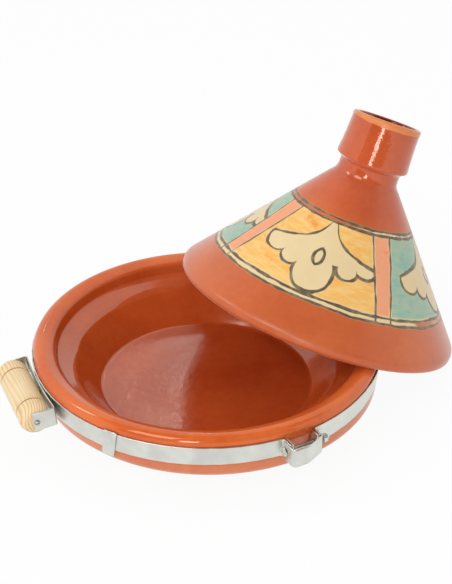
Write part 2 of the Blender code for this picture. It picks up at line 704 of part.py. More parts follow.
def build_handle(side):
    azimuth = HANDLE_AZIMUTHS[side]
    band_face = (strap_radius(STRAP_MIDDLE) + STRAP_THICK / 2) * FLAT
    out = band_face + SEAT_GAP + BRACKET_THICK / 2
    frame = Matrix.Rotation(azimuth, 4, "Z") @ Matrix.Translation((out, 0, STRAP_MIDDLE))
    frame = frame @ Matrix.Rotation(STRAP_LEAN, 4, "Y")
    mount = add_empty("handle_frame_" + side, frame)
    bracket = ribbon("bracket_" + side, bracket_stations(), BRACKET_THICK, steel(), None, mount)
    shade_round(bracket)

    grip_place = Matrix.Translation((grip_axis_out(), 0, -GRIP_DROP)) @ Matrix.Rotation(-math.pi / 2, 4, "X")
    turned("grip_" + side, grip_profile(), GRIP_STEPS, wood(), grip_place, mount)

    screw_seat = tab_offset() + BRACKET_THICK / 2 + SEAT_GAP
    for end, sign in (("front", 1), ("rear", -1)):
        turn = Matrix.Rotation(0.0 if sign > 0 else math.pi, 4, "X")
        place = grip_place @ Matrix.Translation((0, 0, sign * screw_seat)) @ turn
        name = "grip_screw_" + side + "_" + end
        profile = headed_profile(SCREW_RADIUS, SCREW_LENGTH, SCREW_HEAD_RADIUS, SCREW_HEAD_HEIGHT)
        screw = turned(name, profile, METAL_STEPS, steel(), place, mount)
        slot(screw, SCREW_HEAD_RADIUS, SCREW_HEAD_HEIGHT, frame @ place)
        tab = frame @ grip_place @ Matrix.Translation((0, 0, sign * tab_offset()))
        drill(bracket, name + "_hole", SCREW_RADIUS + HOLE_GAP, 4 * BRACKET_THICK, tab)

    depth = BRACKET_THICK + SEAT_GAP + STRAP_THICK
    band = bpy.data.objects["band_back"]
    for level, sign in (("upper", 1), ("lower", -1)):
        level_height = sign * RIVET_SPREAD - BRACKET_DROP
        place = Matrix.Translation((BRACKET_THICK / 2 + SEAT_GAP, 0, level_height))
        place = place @ Matrix.Rotation(math.pi / 2, 4, "Y")
        name = "rivet_" + side + "_" + level
        profile = headed_profile(RIVET_RADIUS, depth, RIVET_HEAD_RADIUS, RIVET_HEAD_HEIGHT)
        turned(name, profile, METAL_STEPS, steel(), place, mount)
        drill(bracket, name + "_bracket_hole", RIVET_RADIUS + HOLE_GAP, 6 * BRACKET_THICK, frame @ place)
        drill(band, name + "_band_hole", RIVET_RADIUS + HOLE_GAP, 8 * STRAP_THICK, frame @ place)


def build_tagine():
    clear_scene()
    build_dish()
    build_lid()
    build_bands()
    build_clip()
    build_guard()
    build_clamp_screw()
    for side in HANDLE_AZIMUTHS:
        build_handle(side)


build_tagine()
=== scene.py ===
# %% [markdown]
# # A clay tagine with its lid off
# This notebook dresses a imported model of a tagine: a shallow glazed dish, the
# conical lid that leans on it, and the clamped steel band with wooden grips.
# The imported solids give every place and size. They could be shown as they
# are, but they are made of flat facets, so each cell here remakes or smooths
# a piece and gives it the finish of fired clay, steel or pine.

# %% Open the frame
import json
import math
import bmesh
import bpy
from mathutils import Matrix, Vector


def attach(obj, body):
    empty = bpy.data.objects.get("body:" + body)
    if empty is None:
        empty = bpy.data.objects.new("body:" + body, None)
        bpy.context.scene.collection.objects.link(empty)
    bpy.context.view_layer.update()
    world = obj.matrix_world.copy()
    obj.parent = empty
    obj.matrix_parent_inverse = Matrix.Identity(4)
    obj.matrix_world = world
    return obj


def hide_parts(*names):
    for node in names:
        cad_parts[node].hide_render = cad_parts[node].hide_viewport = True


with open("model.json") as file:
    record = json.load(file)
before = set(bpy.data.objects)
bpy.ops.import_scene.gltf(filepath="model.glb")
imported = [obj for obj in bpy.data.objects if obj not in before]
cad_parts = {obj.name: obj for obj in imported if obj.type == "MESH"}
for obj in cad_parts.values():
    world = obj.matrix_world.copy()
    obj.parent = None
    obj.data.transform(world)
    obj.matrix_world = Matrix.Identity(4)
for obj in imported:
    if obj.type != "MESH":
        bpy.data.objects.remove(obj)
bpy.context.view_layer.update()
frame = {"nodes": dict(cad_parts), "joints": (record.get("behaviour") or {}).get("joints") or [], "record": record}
record = frame["record"]
body_of_node = {}
for body, nodes in record["behaviour"]["bodies"].items():
    for node in nodes:
        body_of_node[node] = body

MM = 0.001
WHITE = (1.0, 1.0, 1.0, 1.0)


def colour(red, green, blue):
    """A colour given 0 to 255, as the linear value that a shader takes."""
    linear = []
    for value in (red, green, blue):
        share = value / 255
        linear.append(share / 12.92 if share <= 0.04045 else ((share + 0.055) / 1.055) ** 2.4)
    return (*linear, 1.0)


# %% [markdown]
# ## The viewpoint
# The dish is seen from the front and above, at about 31 degrees, from a little
# over a metre away with a long lens. The camera could be aimed with a Track To
# constraint, but a matrix built from the three axes of the view is exact and
# also holds the slight roll of a hand-held picture.

# %% Camera
LOOK_DOWN = math.radians(31.2856)
ROLL = math.radians(0.4833)
DISTANCE = 1.350
SIDEWAYS = 0.0175
RAISED = 0.044766
AIM_HEIGHT = 0.05865
SENSOR_WIDTH = 36.0
PICTURE_WIDTH = 452
FOCAL_LENGTH_IN_PIXELS = 1501.497

away = Vector((0, -math.cos(LOOK_DOWN), math.sin(LOOK_DOWN)))
upward = Vector((0, math.sin(LOOK_DOWN), math.cos(LOOK_DOWN)))
across = Vector((1, 0, 0))
across, upward = (math.cos(ROLL) * across + math.sin(ROLL) * upward,
                  math.cos(ROLL) * upward - math.sin(ROLL) * across)
spot = away * DISTANCE + across * SIDEWAYS + upward * RAISED + Vector((0, 0, AIM_HEIGHT))
lens = bpy.data.cameras.new("studio_camera")
lens.sensor_fit = "HORIZONTAL"
lens.sensor_width = SENSOR_WIDTH
lens.lens = FOCAL_LENGTH_IN_PIXELS * SENSOR_WIDTH / PICTURE_WIDTH
lens.clip_start = 0.05
camera = bpy.data.objects.new("studio_camera", lens)
turn = Matrix((across, upward, away)).transposed()
camera.matrix_world = Matrix.Translation(spot) @ turn.to_4x4()
bpy.context.scene.collection.objects.link(camera)
bpy.context.scene.camera = camera
bpy.context.scene.view_settings.view_transform = "Standard"
print("camera at", tuple(round(value, 3) for value in spot))

# %% [markdown]
# ## Nodes without the clutter
# A finish is a tree of shader nodes. Wiring each one by hand is long, so this
# small helper adds a node, sets its inputs and joins whatever is a socket.
# Groups are made the same way, with their sockets declared first.


# %% A wiring helper
class Wiring:
    def __init__(self, tree):
        self.tree = tree
        self.count = 0

    def node(self, kind, settings=None, **inputs):
        item = self.tree.nodes.new(kind)
        item.location = (220 * (self.count % 12), -260 * (self.count // 12))
        self.count += 1
        for name, value in (settings or {}).items():
            setattr(item, name, value)
        for name, value in inputs.items():
            self.feed(item.inputs[name.replace("_", " ")], value)
        return item

    def feed(self, socket, value):
        if isinstance(value, bpy.types.NodeSocket):
            self.tree.links.new(value, socket)
        else:
            socket.default_value = value

    def maths(self, operation, *values):
        item = self.node("ShaderNodeMath", {"operation": operation})
        for socket, value in zip(item.inputs, values):
            self.feed(socket, value)
        return item.outputs[0]

    def chain(self, operation, result, *others):
        for value in others:
            result = self.maths(operation, result, value)
        return result

    def plus(self, *values):
        return self.chain("ADD", *values)

    def times(self, *values):
        return self.chain("MULTIPLY", *values)

    def larger(self, *values):
        return self.chain("MAXIMUM", *values)

    def minus(self, first, second):
        return self.maths("SUBTRACT", first, second)

    def over(self, first, second):
        return self.maths("DIVIDE", first, second)

    def unsigned(self, value):
        return self.maths("ABSOLUTE", value)

    def reach(self, wide, tall):
        """The length of a flat arrow with these two sides."""
        return self.maths("SQRT", self.plus(self.times(wide, wide), self.times(tall, tall)))

    def ramp(self, value, low, high, out_low=0.0, out_high=1.0):
        item = self.node("ShaderNodeMapRange", {"interpolation_type": "SMOOTHSTEP"})
        for socket, number in zip(item.inputs, (value, low, high, out_low, out_high)):
            self.feed(socket, number)
        return item.outputs[0]

    def fade(self, value, low, high):
        """1 below the low value, falling smoothly to 0 at the high one."""
        return self.ramp(value, low, high, 1.0, 0.0)

    def blend(self, share, first, second):
        item = self.node("ShaderNodeMix", {"data_type": "RGBA"})
        self.feed(item.inputs[0], share)
        self.feed(item.inputs[6], first)
        self.feed(item.inputs[7], second)
        return item.outputs[2]

    def noise(self, where, scale, detail=2.0, roughness=0.5):
        item = self.node("ShaderNodeTexNoise", Vector=where, Scale=scale, Detail=detail, Roughness=roughness)
        return item.outputs["Fac"]

    def noise_directions(self, where, scale):
        """Three drifting values at once, from the colour of one noise."""
        item = self.node("ShaderNodeTexNoise", Vector=where, Scale=scale, Detail=2.0, Roughness=0.5)
        return self.split(item.outputs["Color"])

    def split(self, vector):
        return self.node("ShaderNodeSeparateXYZ", Vector=vector).outputs

    def stretched(self, where, scale):
        return self.node("ShaderNodeMapping", Vector=where, Scale=scale).outputs[0]

    def object_place(self):
        return self.node("ShaderNodeTexCoord").outputs["Object"]

    def place_before(self, stand):
        """Object coordinates as they are before a piece was put in its place."""
        item = self.node("ShaderNodeMapping", {"vector_type": "TEXTURE"}, Vector=self.object_place(),
                         Location=stand.translation, Rotation=tuple(stand.to_euler()))
        return item.outputs[0]

    def group(self, group, **inputs):
        return self.node("ShaderNodeGroup", {"node_tree": group}, **inputs).outputs

    def bump(self, shader, height, strength, distance):
        item = self.node("ShaderNodeBump", Height=height, Strength=strength, Distance=distance)
        self.feed(shader.inputs["Normal"], item.outputs[0])

    def seen_directly(self):
        """1 for rays from camera, glass and gloss, 0 for those that carry light to the pot."""
        path = self.node("ShaderNodeLightPath").outputs
        return self.larger(path["Is Camera Ray"], path["Is Transmission Ray"], path["Is Glossy Ray"])

    def show_mix(self, material, share, first, second):
        """Show a mix of two shaders on a material's surface."""
        item = self.node("ShaderNodeMixShader")
        for socket, value in zip(item.inputs, (share, first.outputs[0], second.outputs[0])):
            self.feed(socket, value)
        self.feed(material.node_tree.nodes["Material Output"].inputs[0], item.outputs[0])


def new_group(name, inputs, outputs):
    """A shader group with named sockets, and its wiring, inner inputs and inner outputs."""
    group = bpy.data.node_groups.new(name, "ShaderNodeTree")
    for title, kind in inputs:
        group.interface.new_socket(title, in_out="INPUT", socket_type=kind)
    for title, kind in outputs:
        group.interface.new_socket(title, in_out="OUTPUT", socket_type=kind)
    entry = group.nodes.new("NodeGroupInput")
    leave = group.nodes.new("NodeGroupOutput")
    return group, Wiring(group), entry.outputs, leave.inputs


def new_finish(name, metallic=0.0):
    """A material with one Principled shader, and the wiring to feed it."""
    material = bpy.data.materials.new(name)
    material.use_nodes = True
    shader = material.node_tree.nodes["Principled BSDF"]
    shader.inputs["Metallic"].default_value = metallic
    return material, Wiring(material.node_tree), shader


# %% [markdown]
# ## Light and floor
# The pot stands in a white studio: light comes from all round, stronger from
# the front and left, and gloss shows the white walls. Bright lamps could do
# this, but they would wash the clay out, so the world and the floor look white
# only to camera, gloss and glass rays, and light the pot at a plain level. The
# side that the picture is taken from is dark, so two dark sheets hang there:
# painted shade that only gloss sees.

# %% World
WORLD_LIGHT = 0.60

world = bpy.data.worlds.new("studio_world")
bpy.context.scene.world = world
world.use_nodes = True
sky = Wiring(world.node_tree)
sky_shader = world.node_tree.nodes["Background"]
sky_shader.inputs["Color"].default_value = WHITE
sky.feed(sky_shader.inputs["Strength"], sky.ramp(sky.seen_directly(), 0.0, 1.0, WORLD_LIGHT, 1.0))


# %% Floor
FLOOR_WHITENESS = 0.94


def hang_sheet(name, finish, wide, tall, place=(0, 0, 0), turn_x=0, parts=1):
    """A flat sheet that belongs to the studio and not to the pot."""
    shape = bmesh.new()
    bmesh.ops.create_grid(shape, x_segments=parts, y_segments=parts, size=1.0)
    bmesh.ops.scale(shape, vec=(wide / 2, tall / 2, 1), verts=shape.verts)
    stand = Matrix.Translation(place) @ Matrix.Rotation(math.radians(turn_x), 4, "X")
    bmesh.ops.transform(shape, matrix=stand, verts=shape.verts)
    mesh = bpy.data.meshes.new(name)
    shape.to_mesh(mesh)
    shape.free()
    mesh.materials.append(finish)
    item = bpy.data.objects.new(name, mesh)
    bpy.context.scene.collection.objects.link(item)


floor_finish, floor, floor_shader = new_finish("white_floor")
floor_shader.inputs["Base Color"].default_value = (0.86, 0.86, 0.86, 1.0)
floor_shader.inputs["Roughness"].default_value = 0.9
floor_shader.inputs["Specular IOR Level"].default_value = 0.0
floor_glow = floor.node("ShaderNodeEmission", Color=WHITE, Strength=1.0)
floor.show_mix(floor_finish, floor.times(floor.seen_directly(), FLOOR_WHITENESS), floor_shader, floor_glow)
hang_sheet("studio_floor", floor_finish, 12.0, 12.0, parts=2)


# %% Lamps
def lamp(name, place, target, wide, tall, power):
    """A soft rectangular lamp aimed at a point."""
    data = bpy.data.lights.new(name, "AREA")
    data.shape = "RECTANGLE"
    data.size = wide
    data.size_y = tall
    data.energy = power
    item = bpy.data.objects.new(name, data)
    item.matrix_world = Matrix.Translation(place) @ (
        (Vector(target) - Vector(place)).to_track_quat("-Z", "Y").to_matrix().to_4x4())
    bpy.context.scene.collection.objects.link(item)
    return item


lamp("front_left_softbox", (-0.9, -1.3, 1.5), (0, 0, 0.05), 0.9, 0.9, 12)
overhead = lamp("overhead_softbox", (0.5, 0.7, 1.9), (0.05, 0, 0.05), 1.0, 1.0, 6)
overhead.visible_glossy = False
lamp("front_window", (-0.26, -1.66, 0.55), (0.13, 0.05, 0.18), 0.30, 0.48, 4.5)
lamp("side_strip", (-1.55, 0.0, 1.30), (0, 0, 0.05), 0.16, 0.60, 4)
lamp("far_spot", (-0.03, 1.47, 1.07), (0, 0, 0.02), 0.04, 0.04, 0.08)
print("lit by five lamps and a pale room")

# %% Sheets of painted shade
SHADE_SHEET_TONE = 0.10

# painted shade: gloss sees these sheets as dark, and every other ray passes through them
shade_sheet_finish = bpy.data.materials.new("painted_shade_sheet")
shade_sheet_finish.use_nodes = True
shade_wires = Wiring(shade_sheet_finish.node_tree)
shade_gap = shade_wires.node("ShaderNodeBsdfTransparent")
shade_dark = shade_wires.node("ShaderNodeEmission", Color=WHITE, Strength=SHADE_SHEET_TONE)
shade_share = shade_wires.node("ShaderNodeLightPath").outputs["Is Glossy Ray"]
shade_wires.show_mix(shade_sheet_finish, shade_share, shade_gap, shade_dark)
hang_sheet("front_shade_sheet", shade_sheet_finish, 8.0, 3.2, (0, -2.8, 1.9), 90)
hang_sheet("overhead_shade_sheet", shade_sheet_finish, 8.0, 3.6, (0, -1.2, 3.4))

# %% [markdown]
# ## Making and placing pieces
# Clay is thrown and wood is turned, so most pieces are a section spun about an
# axis. A Screw modifier would do as well, but bmesh's spin leaves a mesh that
# can be moved to its place at once, as the export needs every object unturned.

# %% Helpers for pieces
MERGE_DISTANCE = 0.004 * MM


def settle(name, shape, finish, node, sharp):
    """Close a shape, name it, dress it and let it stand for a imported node."""
    bmesh.ops.remove_doubles(shape, verts=shape.verts, dist=MERGE_DISTANCE)
    bmesh.ops.recalc_face_normals(shape, faces=shape.faces)
    mesh = bpy.data.meshes.new(name)
    shape.to_mesh(mesh)
    shape.free()
    mesh.shade_smooth()
    mesh.set_sharp_from_angle(angle=math.radians(sharp))
    mesh.materials.append(finish)
    piece = bpy.data.objects.new(name, mesh)
    bpy.context.scene.collection.objects.link(piece)
    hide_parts(node)
    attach(piece, body_of_node[node])
    print(name, "faces:", len(mesh.polygons))


def turned_shape(section, steps):
    """Spin a section, given as radius and height in millimetres, once round Z."""
    shape = bmesh.new()
    verts = [shape.verts.new((x * MM, 0.0, z * MM)) for x, z in section]
    edges = [shape.edges.new(pair) for pair in zip(verts, verts[1:])]
    bmesh.ops.spin(shape, geom=verts + edges, cent=(0, 0, 0), axis=(0, 0, 1),
                   angle=2 * math.pi, steps=steps, use_merge=True)
    return shape


def stand_at(shape, place):
    bmesh.ops.transform(shape, matrix=place, verts=shape.verts)
    return shape


def arc(centre, radius, start, end, count):
    """Points on an arc in the section's plane, with angles in degrees."""
    angles = [math.radians(start + (end - start) * step / count) for step in range(count + 1)]
    return [(centre[0] + radius * math.cos(a), centre[1] + radius * math.sin(a)) for a in angles]


def ease(start, corner, end, count):
    """A smooth turn from start to end that leans towards the corner."""
    points = []
    for step in range(count + 1):
        t = step / count
        shares = ((1 - t) ** 2, 2 * t * (1 - t), t ** 2)
        points.append(tuple(sum(s * p[i] for s, p in zip(shares, (start, corner, end))) for i in (0, 1)))
    return points


def straight(start, end, count):
    """Evenly spaced points from start to end, without the first."""
    return [tuple(a + (b - a) * step / count for a, b in zip(start, end)) for step in range(1, count + 1)]


def towards(start, end, distance):
    """The point at this distance from the start on the way to the end."""
    share = distance / math.dist(start, end)
    return tuple(a + (b - a) * share for a, b in zip(start, end))


def rounded(before, corner, after, reach_back, count):
    """A corner between two straight runs, rounded off this far to either side."""
    return ease(towards(corner, before, reach_back), corner, towards(corner, after, reach_back), count)


# %% [markdown]
# ## Fired clay
# The pot is red earthenware. The dish has a clear gloss over it, thin and
# orange on edges, deep red inside and a little darker on the floor, as
# painted shade. A photograph could be wrapped round it, but noise is enough:
# broad drifts for the body's colour, fine throwing rings for its relief, and
# small pits where air burst in the kiln.

# %% Group: thrown clay
thrown_clay, clay, clay_in, clay_out = new_group(
    "thrown_clay",
    [("Place", "NodeSocketVector"), ("Ring Spacing", "NodeSocketFloat")],
    [("Drift", "NodeSocketFloat"), ("Speck", "NodeSocketFloat"), ("Relief", "NodeSocketFloat")])
clay_place = clay_in["Place"]
broad = clay.noise(clay_place, 14.0, 4.0, 0.55)
fine = clay.noise(clay_place, 160.0, 3.0, 0.6)
drift = clay.plus(clay.times(broad, 0.75), clay.times(fine, 0.25))
clay.feed(clay_out["Drift"], clay.ramp(drift, 0.33, 0.67))

pits = clay.node("ShaderNodeTexVoronoi", {"feature": "F1"}, Vector=clay_place, Scale=150.0)
sparse = clay.ramp(clay.noise(clay_place, 60.0, 1.0), 0.58, 0.66)
clay.feed(clay_out["Speck"], clay.times(clay.fade(pits.outputs["Distance"], 0.05, 0.12), sparse))

clay_split = clay.split(clay_place)
along = clay.plus(clay.reach(clay_split[0], clay_split[1]), clay.times(clay_split[2], 0.7))
ring = clay.maths("SINE", clay.times(along, clay_in["Ring Spacing"]))
ring = clay.times(ring, clay.ramp(clay.noise(clay_place, 9.0, 2.0), 0.35, 0.7, 0.2, 1.0))
relief = clay.plus(clay.times(ring, 0.02), clay.times(broad, 0.6), clay.times(fine, 0.055))
clay.feed(clay_out["Relief"], relief)

# %% Glazed finish of the dish
FLOOR_REACH = (92 * MM, 98 * MM)
RIM_REACH = (134 * MM, 144 * MM)
UNDERSIDE = (34 * MM, 40 * MM)
RIM_HEIGHT = (50 * MM, 57 * MM)
SMEARED_REACH = (90 * MM, 100 * MM)

glazed, pot, glaze = new_finish("glazed_red_clay")
here = pot.object_place()
body = pot.group(thrown_clay, Place=here, Ring_Spacing=900.0)
pot_split = pot.split(here)
reach = pot.reach(pot_split[0], pot_split[1])


def drifting(first, second):
    """A glaze that wanders between two colours."""
    return pot.blend(body["Drift"], colour(*first), colour(*second))


walls = drifting((180, 70, 27), (196, 84, 37))
# painted shade: inside FLOOR_REACH the floor of the dish gets a darker glaze colour than the walls
shaded_floor_glaze = drifting((174, 63, 23), (190, 77, 32))
at_rim = pot.ramp(reach, *RIM_REACH)
wash = pot.blend(pot.ramp(reach, *FLOOR_REACH), shaded_floor_glaze, walls)
wash = pot.blend(at_rim, wash, drifting((204, 88, 36), (220, 106, 48)))
under = pot.blend(at_rim, wash, drifting((206, 104, 56), (220, 120, 68)))
wash = pot.blend(pot.fade(pot_split[2], *UNDERSIDE), wash, under)
wash = pot.blend(pot.times(body["Speck"], 0.5), wash, colour(90, 30, 14))
pot.feed(glaze.inputs["Base Color"], wash)

# the floor's gloss is a little smeared and wavy, and the rim's is thinner
smeared = pot.ramp(reach, *SMEARED_REACH, 0.08, 0.0)
pot.feed(glaze.inputs["Roughness"], pot.plus(pot.ramp(body["Drift"], 0.0, 1.0, 0.07, 0.13), smeared))
pot.feed(glaze.inputs["IOR"], pot.ramp(pot_split[2], *RIM_HEIGHT, 1.82, 1.57))
glaze.inputs["Specular Tint"].default_value = (1.0, 0.87, 0.74, 1.0)
wavy = pot.times(pot.noise(here, 130.0, 3.0), pot.fade(reach, *SMEARED_REACH))
pot.bump(glaze, pot.plus(body["Relief"], wavy), 0.25, 1.0 * MM)

# %% [markdown]
# ## The dish
# It is thrown on a wheel: a wide flat floor, a steep wall, a gently sloping
# shelf for the lid, a short lip and a rolled rim. Its section goes from the
# middle of the floor over the rim and down to the foot.

# %% Dish
RIM_CENTRE = (147.65, 58.65)
RIM_ROLL = 7.35
FLOOR_EDGE = (95.7, 17.0)
SHELF_LOW = (119.5, 45.3)
SHELF_TOP = (131.5, 51.6)
LEDGE = (134.0, 53.5)
LIP = (136.8, 61.8)
FOOT = (110.0, 0.1)
WHEEL_STEPS = 224
FOOT_REACH = 105 * MM


def dish_section():
    points = [(0.0, 15.6)]
    points += straight(points[-1], (64.0, 15.7), 6)
    points += straight(points[-1], (92.0, 16.8), 6)
    points += rounded(points[-1], FLOOR_EDGE, SHELF_LOW, 2.0, 5)
    points += rounded(FLOOR_EDGE, SHELF_LOW, SHELF_TOP, 5.0, 10)
    points += rounded(SHELF_LOW, SHELF_TOP, LEDGE, 1.4, 4)
    points += rounded(SHELF_TOP, LEDGE, LIP, 1.4, 5)
    points += rounded(LEDGE, LIP, (143.5, 65.2), 2.4, 7)
    points += arc(RIM_CENTRE, RIM_ROLL, 112, -8, 24)
    points += [(155.0, 56.1)]
    points += straight(points[-1], (152.3, 31.0), 4)
    points += ease(points[-1], (151.6, 25.2), (142.7, 20.2), 10)[1:]
    points += straight(points[-1], (114.0, 4.2), 6)
    points += ease(points[-1], (111.5, 2.6), FOOT, 4)[1:]
    points += [(109.0, 0.0), (0.0, 0.0)]
    return points


def swell(shape, from_height, to_height, shift):
    """Push a pot's lower wall a little to one side, as a thrown wall settles."""
    for vert in shape.verts:
        share = min(1.0, max(0.0, (from_height - vert.co.z) / (from_height - to_height)))
        from_axis = math.hypot(vert.co.x, vert.co.y)
        if from_axis > FOOT_REACH:
            vert.co.x += shift * share * share * (3 - 2 * share)
        elif vert.co.z < 1 * MM:
            vert.co.x += shift * (from_axis / FOOT_REACH) ** 4


dish_shape = turned_shape(dish_section(), WHEEL_STEPS)
swell(dish_shape, 42 * MM, 24 * MM, 2.2 * MM)
settle("glazed_dish", dish_shape, glazed, "dish", 50)

# %% [markdown]
# ## The lid's paint
# The cone is dipped in red slip, then a band of cream is brushed round it and
# divided into four panels by salmon stripes. Each panel holds a scalloped palm
# leaf, outlined in dark brown, on ochre or turquoise. The band could be an
# image, but here it is drawn with distances: the distance from the cone's axis
# and the angle round it give two flat coordinates, in millimetres and degrees,
# and each curve is a small formula.

# %% Where a point lies on the leaning cone
LEAN = math.radians(22.9)
LEAN_TOWARDS = math.radians(34.85)
LID_PLACE = (Matrix.Translation((101.793 * MM, 70.880 * MM, 50.774 * MM))
             @ Matrix.Rotation(LEAN_TOWARDS, 4, "Z") @ Matrix.Rotation(LEAN, 4, "Y"))
PANEL = 90.0
FIRST_BORDER = 166.4
SHAKE_DOWN, SHAKE_ROUND, SHAKE_GROUND = 2.2, 2.6, 3.4
LEAF_ASIDE = 2.6
ODD_LEAF_ASIDE = 4.0

painted_band, draw, draw_in, draw_out = new_group(
    "painted_band",
    [("Place", "NodeSocketVector")],
    [("Colour", "NodeSocketColor"), ("Paint", "NodeSocketFloat"), ("Line", "NodeSocketFloat")])
lid_point = draw_in["Place"]
flat = draw.split(lid_point)
shake = draw.noise_directions(lid_point, 42.0)


def shaken(value, direction, amount):
    """A value that a hand can't hold quite still."""
    return draw.plus(value, draw.times(draw.minus(shake[direction], 0.5), amount))


angle = draw.times(draw.maths("ARCTAN2", flat[1], flat[0]), 180 / math.pi)
down = shaken(draw.times(draw.reach(flat[0], flat[1]), 1000.0), 0, SHAKE_DOWN)
sweep = draw.plus(shaken(angle, 1, SHAKE_ROUND), 720 - FIRST_BORDER)
panel = draw.maths("FLOOR", draw.over(sweep, PANEL))
odd = draw.maths("MODULO", panel, 2.0)
side = draw.minus(draw.minus(sweep, draw.times(panel, PANEL)), PANEL / 2)
leaf_side = draw.minus(draw.minus(side, LEAF_ASIDE), draw.times(odd, ODD_LEAF_ASIDE))
leaf_wide = draw.unsigned(leaf_side)

# %% The palm leaf, as the larger or smaller of simple distances
LOBES = ((-28.0, 83.2, 9.3, 8.2), (-14.8, 88.2, 7.0, 6.8), (-9.0, 84.0, 6.0, 6.0),
         (0.6, 92.5, 11.2, 13.6), (18.6, 86.0, 6.6, 5.8), (30.6, 82.8, 7.2, 5.2))
LEAF_TIP = 60.0
LEAF_FOOT = 87.5
LEAF_HALF = 33.0
SEED_ARCS = ((-3.3, 83.2, 6.1, 6.0), (2.7, 83.2, 6.1, 6.0))


def oval(wide, tall, reach_wide, reach_tall):
    """How far a point lies outside an oval, in about the oval's own units."""
    from_wide = draw.over(draw.minus(leaf_side, wide), reach_wide)
    from_tall = draw.over(draw.minus(down, tall), reach_tall)
    return draw.times(draw.minus(draw.reach(from_wide, from_tall), 1.0), min(reach_wide, reach_tall))


# the shoulders fall off steeply beside the tip and then run out almost level
past = draw.minus(leaf_wide, 2.4)
fall = draw.maths("POWER", math.e, draw.over(past, -6.0))
shoulder = draw.plus(draw.times(draw.minus(1.0, fall), 11.6), LEAF_TIP, draw.times(past, 0.29))
below_foot = draw.minus(down, draw.minus(LEAF_FOOT, draw.times(leaf_wide, 0.12)))
leaf = draw.larger(below_foot, draw.minus(leaf_wide, LEAF_HALF))
leaf = draw.chain("MINIMUM", leaf, *(oval(*lobe) for lobe in LOBES))
leaf = draw.larger(leaf, draw.times(draw.minus(shoulder, down), 0.8))

# the pointed seed in the leaf's middle is where two circles overlap
seed = draw.larger(*(oval(*seed_arc) for seed_arc in SEED_ARCS))

# %% Stripes, rings and brush lines
RINGS = (56.6, 59.3, 107.7, 111.3)
STRIPE_HALF_ABOVE, STRIPE_HALF_BELOW = 9.0, 8.0
STRIPE_TURNS_AT = 84.0
STRIPE_SLANT = 0.115

thick = draw.ramp(draw.noise(lid_point, 70.0, 2.0), 0.3, 0.7, 0.44, 1.08)


def stroke(distance, width=1.0):
    """A soft brush line along where a distance is nought."""
    return draw.fade(draw.minus(draw.unsigned(distance), draw.times(thick, width)), -0.22, 0.32)


top_ring, top_line, low_line, low_ring = (draw.minus(down, at) for at in RINGS)
border = draw.maths("ROUND", draw.over(sweep, PANEL))
slant = draw.times(draw.minus(1.0, draw.maths("MODULO", border, 2.0)), STRIPE_SLANT)
middle = draw.times(draw.minus(STRIPE_TURNS_AT, down), slant)
from_border = draw.minus(sweep, draw.plus(draw.times(border, PANEL), middle))
stripe = draw.times(draw.unsigned(from_border), draw.times(down, math.pi / 180))
stripe = draw.minus(stripe, draw.ramp(down, 60.0, 106.0, STRIPE_HALF_ABOVE, STRIPE_HALF_BELOW))
in_band = draw.times(draw.ramp(top_ring, -0.4, 0.3), draw.fade(low_ring, -0.3, 0.4))
in_panels = draw.times(draw.ramp(top_line, 0.3, 1.6), draw.fade(low_line, -2.2, -0.6))
off_leaf = draw.ramp(shaken(leaf, 2, SHAKE_GROUND), 0.2, 1.3)
ground = draw.times(in_panels, draw.ramp(stripe, 0.9, 2.1), off_leaf)

# %% Brushed colours of the band
streak_place = draw.node("ShaderNodeCombineXYZ", X=draw.times(sweep, 0.10), Y=draw.times(down, 0.42), Z=panel)
streak = draw.noise(streak_place.outputs[0], 1.1, 4.0, 0.62)
cloud = draw.noise(lid_point, 34.0, 4.0, 0.6)
cream = draw.blend(cloud, colour(224, 198, 148), colour(240, 216, 168))
ochre = draw.blend(draw.ramp(streak, 0.36, 0.64), colour(246, 200, 122), colour(244, 182, 90))
ochre = draw.blend(draw.ramp(cloud, 0.56, 0.70), ochre, colour(238, 142, 46))
sea = draw.blend(draw.ramp(streak, 0.34, 0.62), colour(124, 182, 170), colour(160, 188, 158))
sea = draw.blend(draw.ramp(cloud, 0.56, 0.76), sea, colour(84, 160, 168))
salmon = draw.blend(cloud, colour(238, 150, 104), colour(246, 176, 134))
salmon = draw.blend(draw.ramp(streak, 0.62, 0.78), salmon, colour(240, 108, 74))
band_colour = draw.blend(draw.times(ground, draw.fade(odd, 0.4, 0.6)), cream, ochre)
band_colour = draw.blend(draw.times(ground, draw.times(odd, 0.92)), band_colour, sea)
band_colour = draw.blend(draw.times(draw.fade(stripe, -2.0, -0.8), in_panels), band_colour, salmon)

# the brush missed some of the gaps between each pair of rings
top_bare = draw.times(draw.fade(top_line, -1.0, -0.2), draw.ramp(draw.noise(lid_point, 9.0, 1.0), 0.40, 0.46))
low_bare = draw.times(draw.ramp(low_line, 0.2, 1.0), draw.ramp(draw.noise(lid_point, 13.0, 1.0), 0.56, 0.62))
painted = draw.times(in_band, draw.minus(1.0, draw.larger(top_bare, low_bare)))

# %% Ink over the colours
leaf_lines = draw.times(draw.larger(stroke(leaf), stroke(seed, 1.1)), draw.ramp(stripe, -0.2, 0.6))
stripe_lines = draw.times(stroke(stripe, 1.15), draw.fade(low_ring, -0.5, 0.5))
panel_lines = draw.times(draw.larger(leaf_lines, stripe_lines), draw.ramp(top_line, -0.4, 0.4))
lines = draw.larger(panel_lines, stroke(top_ring, 1.1), stroke(top_line, 1.1), stroke(low_line),
                    stroke(low_ring, 1.1))
lines = draw.times(lines, draw.ramp(draw.noise(lid_point, 120.0, 3.0), 0.25, 0.6, 0.72, 0.97))
ink = draw.blend(cloud, colour(62, 54, 42), colour(98, 84, 64))
draw.feed(draw_out["Colour"], draw.blend(lines, band_colour, ink))
draw.feed(draw_out["Paint"], draw.larger(painted, lines))
draw.feed(draw_out["Line"], lines)
print("painted band:", len(painted_band.nodes), "nodes")

